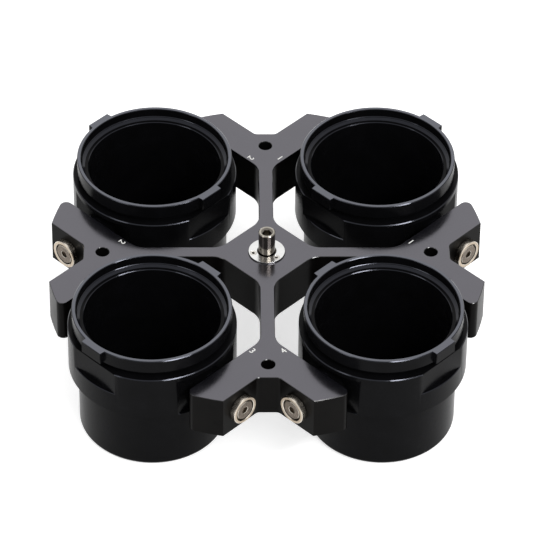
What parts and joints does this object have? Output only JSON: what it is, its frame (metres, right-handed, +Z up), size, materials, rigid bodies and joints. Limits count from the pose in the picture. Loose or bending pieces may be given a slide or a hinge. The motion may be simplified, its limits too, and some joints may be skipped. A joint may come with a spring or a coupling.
{
  "type": "swing out rotor",
  "caption": "Swing-out centrifuge rotor: a cross-shaped plate whose forked arms carry round buckets on trunnion pins, with a captive tie-down nut in its hub.",
  "frame": {"origin": "on the spindle axis, in the plane of the buckets' undersides, where the rotor stands", "axes": "+Z up along the spindle; the arms lie along X and Y, and the buckets on the diagonals"},
  "size_m": [0.3214, 0.3214, 0.107],
  "materials": {
    "anodised_cross": "machined and black anodised, satin",
    "anodised_bucket": "turned and black anodised, satin",
    "sleeve_steel": "turned stainless steel",
    "flange_steel": "faced stainless steel, bright",
    "screw_steel": "stainless steel screws",
    "washer_bronze": "bronze thrust washer",
    "nut_steel": "ground and polished dark steel",
    "pin_steel": "hardened and ground steel",
    "bush_steel": "turned steel"
  },
  "bodies": {
    "rotor": {"rotor_cross": "anodised_cross", "hub_sleeve": "sleeve_steel", "hub_flange": "flange_steel", "hub_flange_screws": "screw_steel", "thrust_washer": "washer_bronze", "trunnion_pin_1a": "pin_steel", "trunnion_pin_1b": "pin_steel", "trunnion_pin_2a": "pin_steel", "trunnion_pin_2b": "pin_steel", "trunnion_pin_3a": "pin_steel", "trunnion_pin_3b": "pin_steel", "trunnion_pin_4a": "pin_steel", "trunnion_pin_4b": "pin_steel", "trunnion_bush_1a": "bush_steel", "trunnion_bush_1b": "bush_steel", "trunnion_bush_2a": "bush_steel", "trunnion_bush_2b": "bush_steel", "trunnion_bush_3a": "bush_steel", "trunnion_bush_3b": "bush_steel", "trunnion_bush_4a": "bush_steel", "trunnion_bush_4b": "bush_steel"},
    "tie_down_nut": {"tie_down_nut": "nut_steel"},
    "bucket_1": {"bucket_1": "anodised_bucket"},
    "bucket_2": {"bucket_2": "anodised_bucket"},
    "bucket_3": {"bucket_3": "anodised_bucket"},
    "bucket_4": {"bucket_4": "anodised_bucket"}
  },
  "joints": [
    {"name": "bucket_1_swing", "type": "hinge", "parent": "rotor", "child": "bucket_1", "pos_m": [0.08415, 0.08415, 0.068], "axis": [0.7071, -0.7071, 0], "range_deg": [-10, 90]},
    {"name": "bucket_2_swing", "type": "hinge", "parent": "rotor", "child": "bucket_2", "pos_m": [-0.08415, 0.08415, 0.068], "axis": [0.7071, 0.7071, 0], "range_deg": [-10, 90]},
    {"name": "bucket_3_swing", "type": "hinge", "parent": "rotor", "child": "bucket_3", "pos_m": [-0.08415, -0.08415, 0.068], "axis": [-0.7071, 0.7071, 0], "range_deg": [-10, 90]},
    {"name": "bucket_4_swing", "type": "hinge", "parent": "rotor", "child": "bucket_4", "pos_m": [0.08415, -0.08415, 0.068], "axis": [-0.7071, -0.7071, 0], "range_deg": [-10, 90]},
    {"name": "tie_down_turn", "type": "hinge", "parent": "rotor", "child": "tie_down_nut", "pos_m": [0, 0, 0.085], "axis": [0, 0, 1], "continuous": true}
  ]
}
